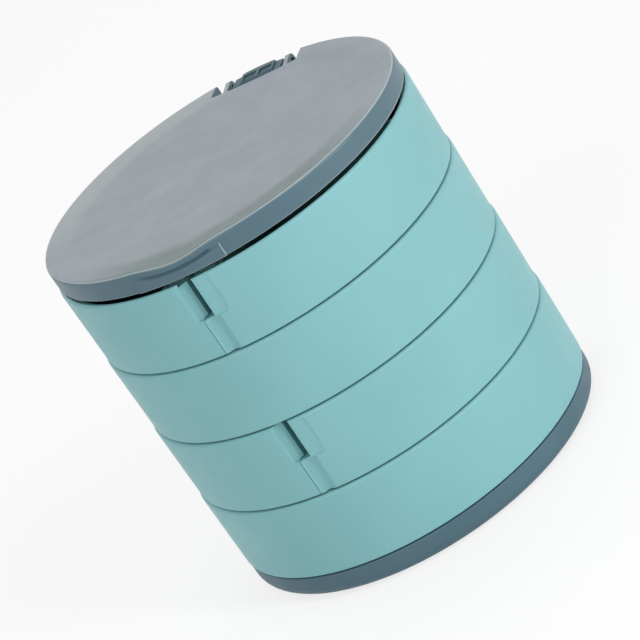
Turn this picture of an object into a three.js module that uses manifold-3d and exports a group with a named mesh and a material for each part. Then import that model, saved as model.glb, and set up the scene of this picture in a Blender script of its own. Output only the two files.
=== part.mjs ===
// Round four-tier jewelry box with a mirror lid: a lower and an upper unit, joined by a rear swivel.
// Millimetres, +Z up. The origin is the centre of the underside, -Y is the front, +Y the hinge side.
import * as THREE from 'three';
import { mergeVertices } from 'three/addons/utils/BufferGeometryUtils.js';
import Module from 'manifold-3d';

const wasm = await Module();
wasm.setup();

// Overall sizes
const BOX_RADIUS = 50;
const TIER_TAPER = 0.35;
const TIER_PITCH = 21.6;
const GAP = 0.3;
const FAR = 60;
const TIER_GAP = 0.45;
const FOOT_HEIGHT = 0.5;
const BASE_TOP = 6.98;
const BASE_RADIUS = 49.4;
const LID_GAP = 1.2;
const LID_HEIGHT = 5.82;
const LID_RADIUS = 49.6;

// Heights of the tiers, from the bottom up
const TIER_HEIGHT = TIER_PITCH - TIER_GAP;
const LOWER_TRAY_Z = BASE_TOP + TIER_GAP;
const LOWER_DRAWER_Z = LOWER_TRAY_Z + TIER_PITCH;
const UPPER_TRAY_Z = LOWER_DRAWER_Z + TIER_PITCH;
const UPPER_DRAWER_Z = UPPER_TRAY_Z + TIER_PITCH;
const TOP_OF_TIERS = UPPER_DRAWER_Z + TIER_HEIGHT;
const LID_Z = TOP_OF_TIERS + LID_GAP;
const LID_TOP = LID_Z + LID_HEIGHT;

// Walls of the trays and drawers
const WALL = 2.1;
const INNER_RADIUS = BOX_RADIUS - WALL;
const FLOOR = 2.0;
const INNER_WALL = 1.6;
const FLOOR_FILLET = 2.4;
const FLOOR_CHAMFER = 2.9;
const RIM_ROUND = 0.9;
const DIVIDER = 1.4;
const DIVIDER_DROP = 2.5;
const DIVIDER_Y = -2;

// Rear column and the vertical swivel inside it
const COLUMN_HALF = 19.7;
const COLUMN_FRONT = 31.7;
const SWIVEL_Y = 40;
const POST_RADIUS = 3;
const WASHER_RADIUS = 6.2;
const CHAMBER_RADIUS = 6.9;
const CHAMBER_RISE = 14;
const COLUMN_WALL = 1.8;
const COLUMN_CORE_HALF = 12.6;
const COLUMN_SCREW = [10, 37];
const COLUMN_SCREW_DEPTH = 8.6;
const SOCKET_DEPTH = 15.8;
const WASHER_SEAT_DEPTH = 1.05;
const CROSS_SCREW_DROP = 5;

// Drawer pivots, beside the column
const PIVOT_X = 25.5;
const PIVOT_Y = 36.5;
const KNUCKLE_RADIUS = 5.2;
const PIN_RADIUS = 1.5;
const PIN_BORE = 1.8;
const PIN_HEAD_RADIUS = 2.8;
const PIN_HEAD_HEIGHT = 1.6;
const PIN_DEPTH = 12;
const BOSS_RADIUS = 4.2;
const DRAWER_REAR = 31;
const DRAWER_CENTRE_GAP = 0.8;

// Stepped finger pull on the front seam of each pair of drawers
const PULL_MID = 0.48;
const TONGUE_REACH = 0.5;
const EDGE_X = 1.9;
const SCOOP_START = 5.5;
const TONGUE_BACK_Y = -45.2;
const CORNER_BACK_Y = -43.4;
const CORNER_WIDTH = 8;

// Lid hinge
const HINGE_Y = 46.2;
const HINGE_Z = LID_TOP - 3.2;
const NOTCH_HALF = 12.5;
const NOTCH_FRONT = 39;
const EAR_IN = 7.9;
const EAR_OUT = 9.9;
const LID_KNUCKLE = 2.4;
const HINGE_PIN_RADIUS = 0.9;
const BLOCK_HALF = 7.2;

// Rounded edge and dished top of the lid, its front dip and the finger tab below the dip
const LID_EDGE_ROUND = 1.1;
const DISH_DEPTH = 0.75;
const DIP_DEPTH = 1.1;
const DIP_HALF = 11.5;
const TAB_HALF = 12.4;
const TAB_RAISE = 0.4;
const TAB_SAG = 1.5;

// Mirror and its seat under the lid
const MIRROR_Y = -2;
const MIRROR_SEAT_RADIUS = 38.5;
const MIRROR_RADIUS = 36.8;
const LID_CEILING = LID_TOP - 1.9;

// Base dish, its screws and its feet
const BASE_CORNER = 3;
const BASE_FLOOR = 1.8;
const BASE_WALL = 2;
const PEG_RADIUS = 3;
const PEG_LOW = 4.5;
const BASE_BOSS_RADIUS = 4.4;
const BASE_SCREW_SPOTS = [[36, 0], [-36, 0], [0, -36], [0, 30]];
const SCREW_SHANK = 1.1;
const SCREW_BORE = 1.4;
const SCREW_SEAT = 2.7;
const FOOT_RADIUS = 4.5;
const FOOT_CIRCLE = 38;
const FOOT_SPOTS = [45, 135, 225, 315].map((degrees) => {
  const angle = THREE.MathUtils.degToRad(degrees);
  return [FOOT_CIRCLE * Math.cos(angle), FOOT_CIRCLE * Math.sin(angle)];
});

// Facets round the turned pieces, from the largest to the smallest
const SEGMENTS = 56;
const MIRROR_SEGMENTS = 40;
const KNUCKLE_SEGMENTS = 28;
const SWIVEL_SEGMENTS = 20;
const SMALL_SEGMENTS = 10;

// Material colours
const TEAL = { color: 0x82bcc0, roughness: 0.55, metalness: 0 };
const SLATE = { color: 0x5f8290, roughness: 0.5, metalness: 0 };
const STEEL = { color: 0xb9bdc0, roughness: 0.3, metalness: 1 };
const NYLON = { color: 0xe9e7df, roughness: 0.6, metalness: 0 };
const RUBBER = { color: 0x2c3033, roughness: 0.9, metalness: 0 };
const MIRROR = { color: 0xeef2f4, roughness: 0.03, metalness: 1 };
const FOAM = { color: 0xf2f2ee, roughness: 0.95, metalness: 0 };

// Six times the volume of a triangle list, negative when its faces point in
function signedVolume(xyz, triangles) {
  const corner = (k) => new THREE.Vector3(xyz[3 * k], xyz[3 * k + 1], xyz[3 * k + 2]);
  let total = 0;
  for (let i = 0; i < triangles.length; i += 3) {
    const [a, b, c] = [corner(triangles[i]), corner(triangles[i + 1]), corner(triangles[i + 2])];
    total += a.dot(b.cross(c));
  }
  return total;
}

// A closed three.js geometry as a solid that can be cut and joined
function solidOf(geometry) {
  const bare = geometry.index ? geometry.toNonIndexed() : geometry.clone();
  bare.deleteAttribute('normal');
  bare.deleteAttribute('uv');
  const merged = mergeVertices(bare, 1e-4);
  const xyz = Float32Array.from(merged.attributes.position.array);
  const triangles = [];
  const index = merged.index.array;
  for (let i = 0; i < index.length; i += 3) {
    const [a, b, c] = [index[i], index[i + 1], index[i + 2]];
    if (a !== b && b !== c && c !== a) triangles.push(a, b, c);
  }
  if (signedVolume(xyz, triangles) < 0) triangles.reverse();
  return new wasm.Manifold(new wasm.Mesh({
    numProp: 3, vertProperties: xyz, triVerts: Uint32Array.from(triangles),
  }));
}

// A solid of revolution about a vertical axis, from [radius, height] points
function revolve(profile, x = 0, y = 0, segments = SEGMENTS) {
  const points = profile.map(([radius, height]) => new THREE.Vector2(radius, height));
  const first = profile[0];
  if (first[0] > 0) points.push(new THREE.Vector2(...first));
  const geometry = new THREE.LatheGeometry(points, segments);
  geometry.rotateX(Math.PI / 2);
  geometry.translate(x, y, 0);
  return solidOf(geometry);
}

// An upright rod
const rod = (x, y, radius, low, high, segments = SMALL_SEGMENTS) =>
  revolve([[0, low], [radius, low], [radius, high], [0, high]], x, y, segments);

// A flat outline of [x, y] points raised from one height to another
function prism(outline, low, high) {
  const shape = new THREE.Shape(outline.map(([x, y]) => new THREE.Vector2(x, y)));
  const geometry = new THREE.ExtrudeGeometry(shape, { depth: high - low, bevelEnabled: false });
  geometry.translate(0, 0, low);
  return solidOf(geometry);
}

// A block between two corners, given in any order
function block([x0, y0, z0], [x1, y1, z1]) {
  const geometry = new THREE.BoxGeometry(Math.abs(x1 - x0), Math.abs(y1 - y0), Math.abs(z1 - z0));
  geometry.translate((x0 + x1) / 2, (y0 + y1) / 2, (z0 + z1) / 2);
  return solidOf(geometry);
}

// A rod lying along X or Y, between two ends
function lyingRod(axis, from, to, across, height, radius, segments = SMALL_SEGMENTS) {
  const geometry = new THREE.CylinderGeometry(radius, radius, to - from, segments);
  const middle = (from + to) / 2;
  if (axis === 'x') {
    geometry.rotateZ(Math.PI / 2);
    geometry.translate(middle, across, height);
  } else {
    geometry.translate(across, middle, height);
  }
  return solidOf(geometry);
}

// A flat outline of [y, z] points, or a shape drawn in them, given a thickness along X
function slab(outline, x0, x1) {
  const shape = outline instanceof THREE.Shape
    ? outline : new THREE.Shape(outline.map(([y, z]) => new THREE.Vector2(y, z)));
  const geometry = new THREE.ExtrudeGeometry(shape, {
    depth: x1 - x0, bevelEnabled: false, curveSegments: 14,
  });
  geometry.applyMatrix4(new THREE.Matrix4().set(0, 0, 1, 0, 1, 0, 0, 0, 0, 1, 0, 0, 0, 0, 0, 1));
  geometry.translate(x0, 0, 0);
  return solidOf(geometry);
}

// Points of a quarter round, in even steps
function quarter(centreX, centreZ, radius, fromDegrees, toDegrees, steps) {
  return Array.from({ length: steps + 1 }, (_, i) => {
    const angle = THREE.MathUtils.degToRad(fromDegrees + ((toDegrees - fromDegrees) * i) / steps);
    return [centreX + radius * Math.cos(angle), centreZ + radius * Math.sin(angle)];
  });
}

const rectangle = (x0, x1, y0, y1) => [[x0, y0], [x1, y0], [x1, y1], [x0, y1]];
const join = (...solids) => solids.reduce((whole, solid) => whole.add(solid));
const cut = (whole, ...tools) => tools.reduce((left, tool) => left.subtract(tool), whole);

// The outside of one tier as a solid drum, a little wider at its rounded top edge
function tierDrum(low) {
  const high = low + TIER_HEIGHT;
  return revolve([
    [0, low], [BOX_RADIUS - TIER_TAPER - 0.25, low], [BOX_RADIUS - TIER_TAPER, low + 0.25],
    ...quarter(BOX_RADIUS - RIM_ROUND, high - RIM_ROUND, RIM_ROUND, 0, 90, 2), [0, high],
  ]);
}

// The hollow of a tier above its floor, with a round in the floor corner
function tierHollow(low) {
  const floor = low + FLOOR;
  const above = low + TIER_HEIGHT + 1;
  return revolve([
    [0, floor],
    ...quarter(INNER_RADIUS - FLOOR_FILLET, floor + FLOOR_FILLET, FLOOR_FILLET, -90, 0, 2),
    [INNER_RADIUS, above], [0, above],
  ]);
}

// The rear column: its foot stands in a tray, and its shaft fills the back of the tier above
function columnShell(trayLow) {
  const floor = trayLow + FLOOR + GAP;
  const trayTop = trayLow + TIER_HEIGHT;
  const shaftLow = trayLow + TIER_PITCH;
  const top = shaftLow + TIER_HEIGHT;
  const outside = revolve([
    [0, floor], [INNER_RADIUS - GAP - FLOOR_CHAMFER, floor], [INNER_RADIUS - GAP, floor + FLOOR_CHAMFER],
    [INNER_RADIUS - GAP, trayTop + 0.1], [BOX_RADIUS - TIER_TAPER - 0.3, shaftLow],
    [BOX_RADIUS - TIER_TAPER, shaftLow + 0.3],
    ...quarter(BOX_RADIUS - RIM_ROUND, top - RIM_ROUND, RIM_ROUND, 0, 90, 2), [0, top],
  ]);
  const plan = rectangle(-COLUMN_HALF, COLUMN_HALF, COLUMN_FRONT, FAR);
  const pocket = (side) => revolve([
    [0, trayLow], [INNER_RADIUS - 2.4, trayLow], [INNER_RADIUS - 2.4, top - COLUMN_WALL],
    [0, top - COLUMN_WALL],
  ]).intersect(prism(rectangle(
    side * COLUMN_CORE_HALF, side * (COLUMN_HALF - COLUMN_WALL), COLUMN_FRONT + COLUMN_WALL, FAR,
  ), trayLow - 1, top));
  const screwBores = [-1, 1].map((side) =>
    rod(side * COLUMN_SCREW[0], COLUMN_SCREW[1], SCREW_BORE, trayLow, floor + COLUMN_SCREW_DEPTH));
  const solid = outside.intersect(prism(plan, trayLow, top + 1));
  return cut(solid, pocket(-1), pocket(1), ...screwBores);
}

// A bore on the swivel's axis
const swivelBore = (radius, low, high) => rod(0, SWIVEL_Y, radius, low, high, SWIVEL_SEGMENTS);

// Lower column, with the socket of the swivel post
function lowerColumn() {
  const top = LOWER_DRAWER_Z + TIER_HEIGHT;
  const socket = swivelBore(POST_RADIUS + GAP, top - SOCKET_DEPTH, top + 1);
  const washerSeat = swivelBore(WASHER_RADIUS + GAP, top - WASHER_SEAT_DEPTH, top + 1);
  return cut(columnShell(LOWER_TRAY_Z), socket, washerSeat);
}

// Upper column, with the bore of the swivel post and a chamber for the screw on top of it
function upperColumn() {
  const low = UPPER_TRAY_Z;
  const bore = swivelBore(POST_RADIUS + GAP, low, TOP_OF_TIERS);
  const chamber = swivelBore(CHAMBER_RADIUS, low + CHAMBER_RISE, TOP_OF_TIERS + 1);
  const screwZ = TOP_OF_TIERS - CROSS_SCREW_DROP;
  const screwWay = lyingRod('y', COLUMN_FRONT - 1, SWIVEL_Y - 4, 0, screwZ, SCREW_BORE);
  const headWay = lyingRod('y', COLUMN_FRONT - 1, COLUMN_FRONT + 0.9, 0, screwZ, SCREW_SEAT);
  return cut(columnShell(low), bore, chamber, screwWay, headWay);
}

// The space inside a tier, a little smaller than its hollow, that a loose insert fits
function insertSpace(low) {
  const floor = low + FLOOR + GAP;
  return revolve([
    [0, floor], [INNER_RADIUS - FLOOR_FILLET - GAP, floor], [INNER_RADIUS - GAP, floor + FLOOR_FILLET],
    [INNER_RADIUS - GAP, low + TIER_HEIGHT - DIVIDER_DROP], [0, low + TIER_HEIGHT - DIVIDER_DROP],
  ]);
}

// Straight inserts of a round tray: one across it, and one from there back to the column
const crossDivider = (low) => insertSpace(low).intersect(block(
  [-FAR, DIVIDER_Y - DIVIDER / 2, low], [FAR, DIVIDER_Y + DIVIDER / 2, low + TIER_HEIGHT],
));
const rearDivider = (low) => insertSpace(low).intersect(block(
  [-DIVIDER / 2, DIVIDER_Y + DIVIDER / 2 + GAP, low], [DIVIDER / 2, COLUMN_FRONT - GAP, low + TIER_HEIGHT],
));

// A round tray with its two pivot bosses and the holes of the column's screws
function tray(low) {
  const shell = tierDrum(low).subtract(tierHollow(low));
  const bosses = [-1, 1].map((side) =>
    rod(side * PIVOT_X, PIVOT_Y, BOSS_RADIUS, low + 1, low + TIER_HEIGHT).intersect(tierDrum(low)));
  const bores = [-1, 1].map((side) =>
    rod(side * PIVOT_X, PIVOT_Y, PIN_BORE, low + TIER_PITCH - PIN_DEPTH - 3, low + TIER_HEIGHT + 1));
  const screwHoles = [-1, 1].flatMap((side) => [
    rod(side * COLUMN_SCREW[0], COLUMN_SCREW[1], SCREW_BORE, low - 1, low + FLOOR + 1),
    rod(side * COLUMN_SCREW[0], COLUMN_SCREW[1], SCREW_SEAT, low - 1, low + 1.1),
  ]);
  return cut(join(shell, ...bosses), ...bores, ...screwHoles);
}

// A screw from under a tray up into its column
const columnScrew = (side, low) => revolve([
  [0, low + 0.2], [2.1, low + 0.2], [2.3, low + 0.4], [2.3, low + 0.9], [SCREW_SHANK, low + 0.9],
  [SCREW_SHANK, low + 9.5], [0.6, low + 10], [0, low + 10],
], side * COLUMN_SCREW[0], COLUMN_SCREW[1], SMALL_SEGMENTS);

// Lowest tray, with pegs that reach down to the base
function lowerTray() {
  const pegs = BASE_SCREW_SPOTS.map(([x, y]) => rod(x, y, PEG_RADIUS, PEG_LOW, LOWER_TRAY_Z + 1));
  const pegBores = BASE_SCREW_SPOTS.map(([x, y]) =>
    rod(x, y, SCREW_BORE, PEG_LOW - 1, LOWER_TRAY_Z + 1.2));
  return cut(join(tray(LOWER_TRAY_Z), ...pegs), ...pegBores);
}

// Tray of the upper unit, which turns on the swivel post
function upperTray() {
  const low = UPPER_TRAY_Z;
  const bore = swivelBore(POST_RADIUS + GAP, low - 1, low + FLOOR + 1);
  const washerSeat = swivelBore(WASHER_RADIUS + GAP, low - 1, low + 0.6);
  return cut(tray(low), bore, washerSeat);
}

// The outward direction at a drawer pivot, and a plan point measured from that pivot
const PIVOT_REACH = Math.hypot(PIVOT_X, PIVOT_Y);
function fromPivot(side, outward, sideways) {
  const x = PIVOT_X + (outward * PIVOT_X + sideways * PIVOT_Y) / PIVOT_REACH;
  const y = PIVOT_Y + (outward * PIVOT_Y - sideways * PIVOT_X) / PIVOT_REACH;
  return [side * x, y];
}

// Plan of a half-moon drawer, or of its hollow when inset by its walls
function drawerPlan(side, inset) {
  const inner = DRAWER_CENTRE_GAP + inset;
  const rear = DRAWER_REAR - inset;
  const corner = inset ? PIVOT_X + 1.5 : PIVOT_X - KNUCKLE_RADIUS;
  const sideways = inset ? inset + 0.2 : 0;
  return [
    [side * inner, -FAR], [side * inner, rear], [side * corner, rear],
    fromPivot(side, 0, sideways), fromPivot(side, 20, sideways),
    [side * 80, FAR], [side * 80, -FAR],
  ];
}

// Depth of the finger scoop below the drum, by the distance from the seam on the drawer's own side:
// it eases in from the face, then drops down a short ramp
function scoopDepth(distance) {
  const { clamp, smoothstep } = THREE.MathUtils;
  const ease = 0.5 * clamp((SCOOP_START - distance) / 3.45, 0, 1) ** 2;
  const ramp = 1.45 * smoothstep(-distance, -2.3, -0.5);
  return ease + ramp;
}

// Tool that scoops the outer face next to the seam; side -1 scoops the left drawer
function scoopTool(side, low, high) {
  const end = -TONGUE_REACH - 0.4;
  const steps = 12;
  const curve = Array.from({ length: steps + 1 }, (_, i) => {
    const distance = SCOOP_START + ((end - SCOOP_START) * i) / steps;
    return [side * distance, -Math.sqrt(BOX_RADIUS ** 2 - distance ** 2) + scoopDepth(distance)];
  });
  return prism([...curve, [side * end, -FAR], [side * SCOOP_START, -FAR]], low, high);
}

// The stepped seam: each drawer is scooped in one half of its height and set back in the other,
// and the right one's scooped half runs on as a tongue across the centre
function withFingerPull(body, side, low) {
  const high = low + TIER_HEIGHT;
  const middle = low + TIER_HEIGHT * PULL_MID;
  const scoopOnTop = side < 0;
  const [scoopLow, scoopHigh] = scoopOnTop ? [middle + GAP / 2, high + 1] : [low - 1, middle - GAP / 2];
  const [edgeLow, edgeHigh] = scoopOnTop ? [low - 1, scoopLow] : [scoopHigh, high + 1];
  const corner = block([side * DRAWER_CENTRE_GAP, -FAR, low], [side * CORNER_WIDTH, CORNER_BACK_Y, high]);
  const tongue = block([-TONGUE_REACH, -FAR, low], [CORNER_WIDTH, TONGUE_BACK_Y, scoopHigh]);
  const added = scoopOnTop ? corner : join(corner, tongue);
  const setBack = block(
    [side * EDGE_X, -FAR, edgeLow], [-side * CORNER_WIDTH, TONGUE_BACK_Y + GAP, edgeHigh],
  );
  const whole = join(body, tierDrum(low).intersect(added));
  return cut(whole, setBack, scoopTool(side, scoopLow, scoopHigh));
}

// A half-moon drawer with its pivot knuckle; side -1 is the left one
function drawer(side, low) {
  const high = low + TIER_HEIGHT;
  const drum = tierDrum(low);
  const body = drum.intersect(prism(drawerPlan(side, 0), low - 1, high + 1));
  const hollow = tierHollow(low).intersect(prism(drawerPlan(side, INNER_WALL), low, high + 2));
  const knuckle = rod(side * PIVOT_X, PIVOT_Y, KNUCKLE_RADIUS, low, high, KNUCKLE_SEGMENTS).intersect(drum);
  const bore = rod(side * PIVOT_X, PIVOT_Y, PIN_BORE, low - 1, high + 1);
  const headLow = high - PIN_HEAD_HEIGHT - 0.6;
  const headSeat = rod(side * PIVOT_X, PIVOT_Y, PIN_HEAD_RADIUS + GAP, headLow, high + 1);
  return withFingerPull(cut(join(body.subtract(hollow), knuckle), bore, headSeat), side, low);
}

// Straight insert that parts a drawer into a front and a rear compartment
const drawerDivider = (side, low) => insertSpace(low).intersect(block(
  [side * (DRAWER_CENTRE_GAP + INNER_WALL + GAP), DIVIDER_Y - DIVIDER / 2, low],
  [side * FAR, DIVIDER_Y + DIVIDER / 2, low + TIER_HEIGHT],
));

// Shouldered screw that a drawer turns on, held in the boss of the tray below
function pivotScrew(side, drawerLow) {
  const top = drawerLow + TIER_HEIGHT - GAP;
  const foot = drawerLow - PIN_DEPTH;
  return revolve([
    [0, foot], [PIN_RADIUS - 0.4, foot], [PIN_RADIUS, foot + 0.6],
    [PIN_RADIUS, top - PIN_HEAD_HEIGHT], [PIN_HEAD_RADIUS, top - PIN_HEAD_HEIGHT],
    [PIN_HEAD_RADIUS, top - 0.4], [PIN_HEAD_RADIUS - 0.4, top],
    [1.2, top], [1.2, top - 0.8], [0, top - 0.8],
  ], side * PIVOT_X, PIVOT_Y, SMALL_SEGMENTS);
}

// Slate dish under the lowest tier
function baseShell() {
  const low = FOOT_HEIGHT;
  const floor = low + BASE_FLOOR;
  const inside = BASE_RADIUS - BASE_WALL;
  const shell = revolve([
    [0, low], ...quarter(BASE_RADIUS - BASE_CORNER, low + BASE_CORNER, BASE_CORNER, -90, 0, 3),
    [BASE_RADIUS, BASE_TOP - 0.4], [BASE_RADIUS - 0.4, BASE_TOP],
    [inside, BASE_TOP], [inside, floor + 2.2], [inside - 2.2, floor], [0, floor],
  ]);
  const bosses = BASE_SCREW_SPOTS.map(([x, y]) => rod(x, y, BASE_BOSS_RADIUS, low + 1, PEG_LOW - GAP));
  const ways = BASE_SCREW_SPOTS.map(([x, y]) => rod(x, y, SCREW_BORE, low - 1, BASE_TOP));
  const headSeats = BASE_SCREW_SPOTS.map(([x, y]) => rod(x, y, SCREW_SEAT + 0.2, low - 1, floor - 0.1));
  const footSeats = FOOT_SPOTS.map(([x, y]) =>
    rod(x, y, FOOT_RADIUS + GAP, low - 1, low + 0.6, SWIVEL_SEGMENTS));
  return cut(join(shell, ...bosses), ...ways, ...headSeats, ...footSeats);
}

// A rubber disc in a shallow seat under the base
const rubberFoot = ([x, y]) => revolve([
  [0, 0], [FOOT_RADIUS - 0.3, 0], [FOOT_RADIUS, 0.25], [FOOT_RADIUS, FOOT_HEIGHT + 0.3],
  [0, FOOT_HEIGHT + 0.3],
], x, y, SWIVEL_SEGMENTS);

// A screw from the underside into a peg of the lower tray
const baseScrew = ([x, y]) => revolve([
  [0, 0.9], [2.2, 0.9], [2.6, 1.3], [2.6, 1.9], [SCREW_SHANK, 1.9],
  [SCREW_SHANK, LOWER_TRAY_Z + 0.6], [0.6, LOWER_TRAY_Z + 0.9], [0, LOWER_TRAY_Z + 0.9],
], x, y, SMALL_SEGMENTS);

// Steel post that the upper unit turns on, fixed in the lower column
function swivelPost() {
  const seam = UPPER_TRAY_Z - GAP;
  const top = UPPER_TRAY_Z + CHAMBER_RISE + 0.4;
  return revolve([
    [0, seam - 15.6], [POST_RADIUS - 0.5, seam - 15.6], [POST_RADIUS, seam - 15.1],
    [POST_RADIUS, top], [1.5, top], [1.5, top - 7], [0, top - 7],
  ], 0, SWIVEL_Y, SWIVEL_SEGMENTS);
}

// Flat ring washer around the swivel
const ringWasher = (inner, outer, low, high) =>
  revolve([[inner, low], [outer, low], [outer, high], [inner, high]], 0, SWIVEL_Y, SWIVEL_SEGMENTS);

// Screw that holds the washer down on top of the post
function swivelScrew() {
  const seat = UPPER_TRAY_Z + CHAMBER_RISE + 2.0;
  return revolve([
    [0, seat - 7.5], [1.2, seat - 7.5], [1.2, seat], [3.2, seat], [3.2, seat + 1.4], [2.6, seat + 2],
    [1.3, seat + 2], [1.3, seat + 1.1], [0, seat + 1.1],
  ], 0, SWIVEL_Y, SWIVEL_SEGMENTS);
}

// Slate hinge block on the upper column: its top rises to the rear, and its spigot is in the column
function hingeBlock() {
  const low = TOP_OF_TIERS + GAP;
  const top = LID_TOP - 0.9;
  const drum = revolve([
    [0, low], [BOX_RADIUS - 0.5, low], ...quarter(BOX_RADIUS - 1.9, top - 1.4, 1.4, 0, 90, 4), [0, top],
  ]);
  const plan = prism([
    [-BLOCK_HALF, NOTCH_FRONT + 0.6], [BLOCK_HALF, NOTCH_FRONT + 0.6], [BLOCK_HALF, 47.4],
    [4.2, 47.9], [3.6, FAR], [-3.6, FAR], [-4.2, 47.9], [-BLOCK_HALF, 47.4],
  ], low, top);
  const rise = slab([
    [NOTCH_FRONT, low - 1], [NOTCH_FRONT, low + 2.4], [NOTCH_FRONT + 5.2, top], [FAR, top], [FAR, low - 1],
  ], -BLOCK_HALF - 1, BLOCK_HALF + 1);
  const spigot = swivelBore(CHAMBER_RADIUS - GAP, low - 10, low + 0.4);
  const pinBore = lyingRod('x', -20, 20, HINGE_Y, HINGE_Z, HINGE_PIN_RADIUS + GAP);
  const recess = join(
    block([-4.2, 42.2, top - 0.9], [-0.5, 46.4, top + 1]),
    block([0.5, 42.2, top - 0.9], [4.2, 46.4, top + 1]),
  );
  const screwWay = lyingRod('y', 30, SWIVEL_Y, 0, TOP_OF_TIERS - CROSS_SCREW_DROP, SCREW_BORE);
  return cut(join(drum.intersect(plan).intersect(rise), spigot), pinBore, recess, screwWay);
}

// Cross screw through the column's front wall into the hinge block's spigot
function hingeBlockScrew() {
  const height = TOP_OF_TIERS - CROSS_SCREW_DROP;
  const head = lyingRod('y', COLUMN_FRONT - 0.5, COLUMN_FRONT + 0.6, 0, height, SCREW_SEAT - GAP);
  return head.add(lyingRod('y', COLUMN_FRONT, SWIVEL_Y - 0.6, 0, height, SCREW_SHANK));
}

// The two hinge ears of the lid, each an arm with a round knuckle
function lidEars() {
  const profile = new THREE.Shape();
  profile.moveTo(NOTCH_FRONT - 2, LID_TOP - 0.6);
  profile.lineTo(NOTCH_FRONT - 2, LID_Z + 1.2);
  profile.lineTo(HINGE_Y, HINGE_Z - LID_KNUCKLE);
  profile.absarc(HINGE_Y, HINGE_Z, LID_KNUCKLE, -Math.PI / 2, Math.PI / 2, false);
  profile.lineTo(NOTCH_FRONT - 2, LID_TOP - 0.6);
  return join(slab(profile, -EAR_OUT, -EAR_IN), slab(profile, EAR_IN, EAR_OUT));
}

// The raised panel under the lid's front dip, with its top edge a shallow arc
function pullTab() {
  const face = LID_RADIUS + TAB_RAISE;
  const tabTop = LID_TOP - 2;
  const ring = revolve([[46, LID_Z], [face - 0.2, LID_Z], [face, LID_Z + 0.3], [face, tabTop], [46, tabTop]]);
  const panel = ring.intersect(block([-TAB_HALF, -FAR, LID_Z - 1], [TAB_HALF, -40, LID_TOP]));
  const radius = (TAB_HALF ** 2 + TAB_SAG ** 2) / (2 * TAB_SAG);
  return panel.subtract(lyingRod('y', -FAR, -49, 0, tabTop - TAB_SAG + radius, radius, 96));
}

// The dip in the lid's front edge, as the side of a large drum that is tilted towards the front
function frontDip() {
  const radius = DIP_HALF ** 2 / (2 * DIP_DEPTH);
  const drum = new THREE.CylinderGeometry(radius, radius, 24, 120);
  drum.translate(0, 0, radius);
  drum.rotateX(Math.atan(DIP_DEPTH / DIP_HALF));
  drum.translate(0, -LID_RADIUS + DIP_HALF, LID_TOP - 0.3);
  return solidOf(drum);
}

// Shallow dish of the lid's top face, and its underside seat for the mirror
function lidShell() {
  const shell = revolve([
    [0, LID_Z], [LID_RADIUS - 0.4, LID_Z], [LID_RADIUS, LID_Z + 0.4],
    ...quarter(LID_RADIUS - LID_EDGE_ROUND, LID_TOP - LID_EDGE_ROUND, LID_EDGE_ROUND, 0, 90, 3),
    [LID_RADIUS - 4.2, LID_TOP - 0.1], [LID_RADIUS - 9.4, LID_TOP - DISH_DEPTH + 0.1],
    [0, LID_TOP - DISH_DEPTH],
  ]);
  const seat = rod(0, MIRROR_Y, MIRROR_SEAT_RADIUS, LID_Z - 1, LID_CEILING, MIRROR_SEGMENTS);
  const notch = block([-NOTCH_HALF, NOTCH_FRONT, LID_Z - 1], [NOTCH_HALF, FAR, LID_TOP + 1]);
  const pinBore = lyingRod('x', -EAR_OUT - 1, EAR_OUT + 1, HINGE_Y, HINGE_Z, HINGE_PIN_RADIUS + GAP);
  return cut(join(cut(shell, seat, notch, frontDip()), pullTab(), lidEars()), pinBore);
}

// Hinge pin of the lid, as long as the two ears are apart
const lidHingePin = () => lyingRod('x', -EAR_OUT, EAR_OUT, HINGE_Y, HINGE_Z, HINGE_PIN_RADIUS);

// Thin ring that holds the mirror glass in its seat
const mirrorFrame = () => revolve([
  [MIRROR_RADIUS - 1.2, LID_Z + 0.3], [MIRROR_SEAT_RADIUS - GAP - 0.3, LID_Z + 0.3],
  [MIRROR_SEAT_RADIUS - GAP, LID_Z + 0.6], [MIRROR_SEAT_RADIUS - GAP, LID_CEILING - GAP],
  [MIRROR_RADIUS + GAP, LID_CEILING - GAP], [MIRROR_RADIUS + GAP, LID_Z + 0.9],
  [MIRROR_RADIUS - 1.2, LID_Z + 0.9],
], 0, MIRROR_Y, MIRROR_SEGMENTS);

const mirrorGlass = () => rod(0, MIRROR_Y, MIRROR_RADIUS, LID_Z + 1.2, LID_Z + 3.0, MIRROR_SEGMENTS);
const mirrorPad = () => rod(
  0, MIRROR_Y, MIRROR_RADIUS - 1, LID_Z + 3.2, LID_CEILING - 0.2, MIRROR_SEGMENTS,
);

// A named mesh of a finished solid
function piece(name, solid, look) {
  const mesh = solid.getMesh();
  const geometry = new THREE.BufferGeometry();
  geometry.setAttribute('position', new THREE.BufferAttribute(mesh.vertProperties, 3));
  geometry.setIndex(new THREE.BufferAttribute(mesh.triVerts, 1));
  geometry.computeVertexNormals();
  const result = new THREE.Mesh(geometry, new THREE.MeshStandardMaterial(look));
  result.name = name;
  return result;
}

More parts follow.
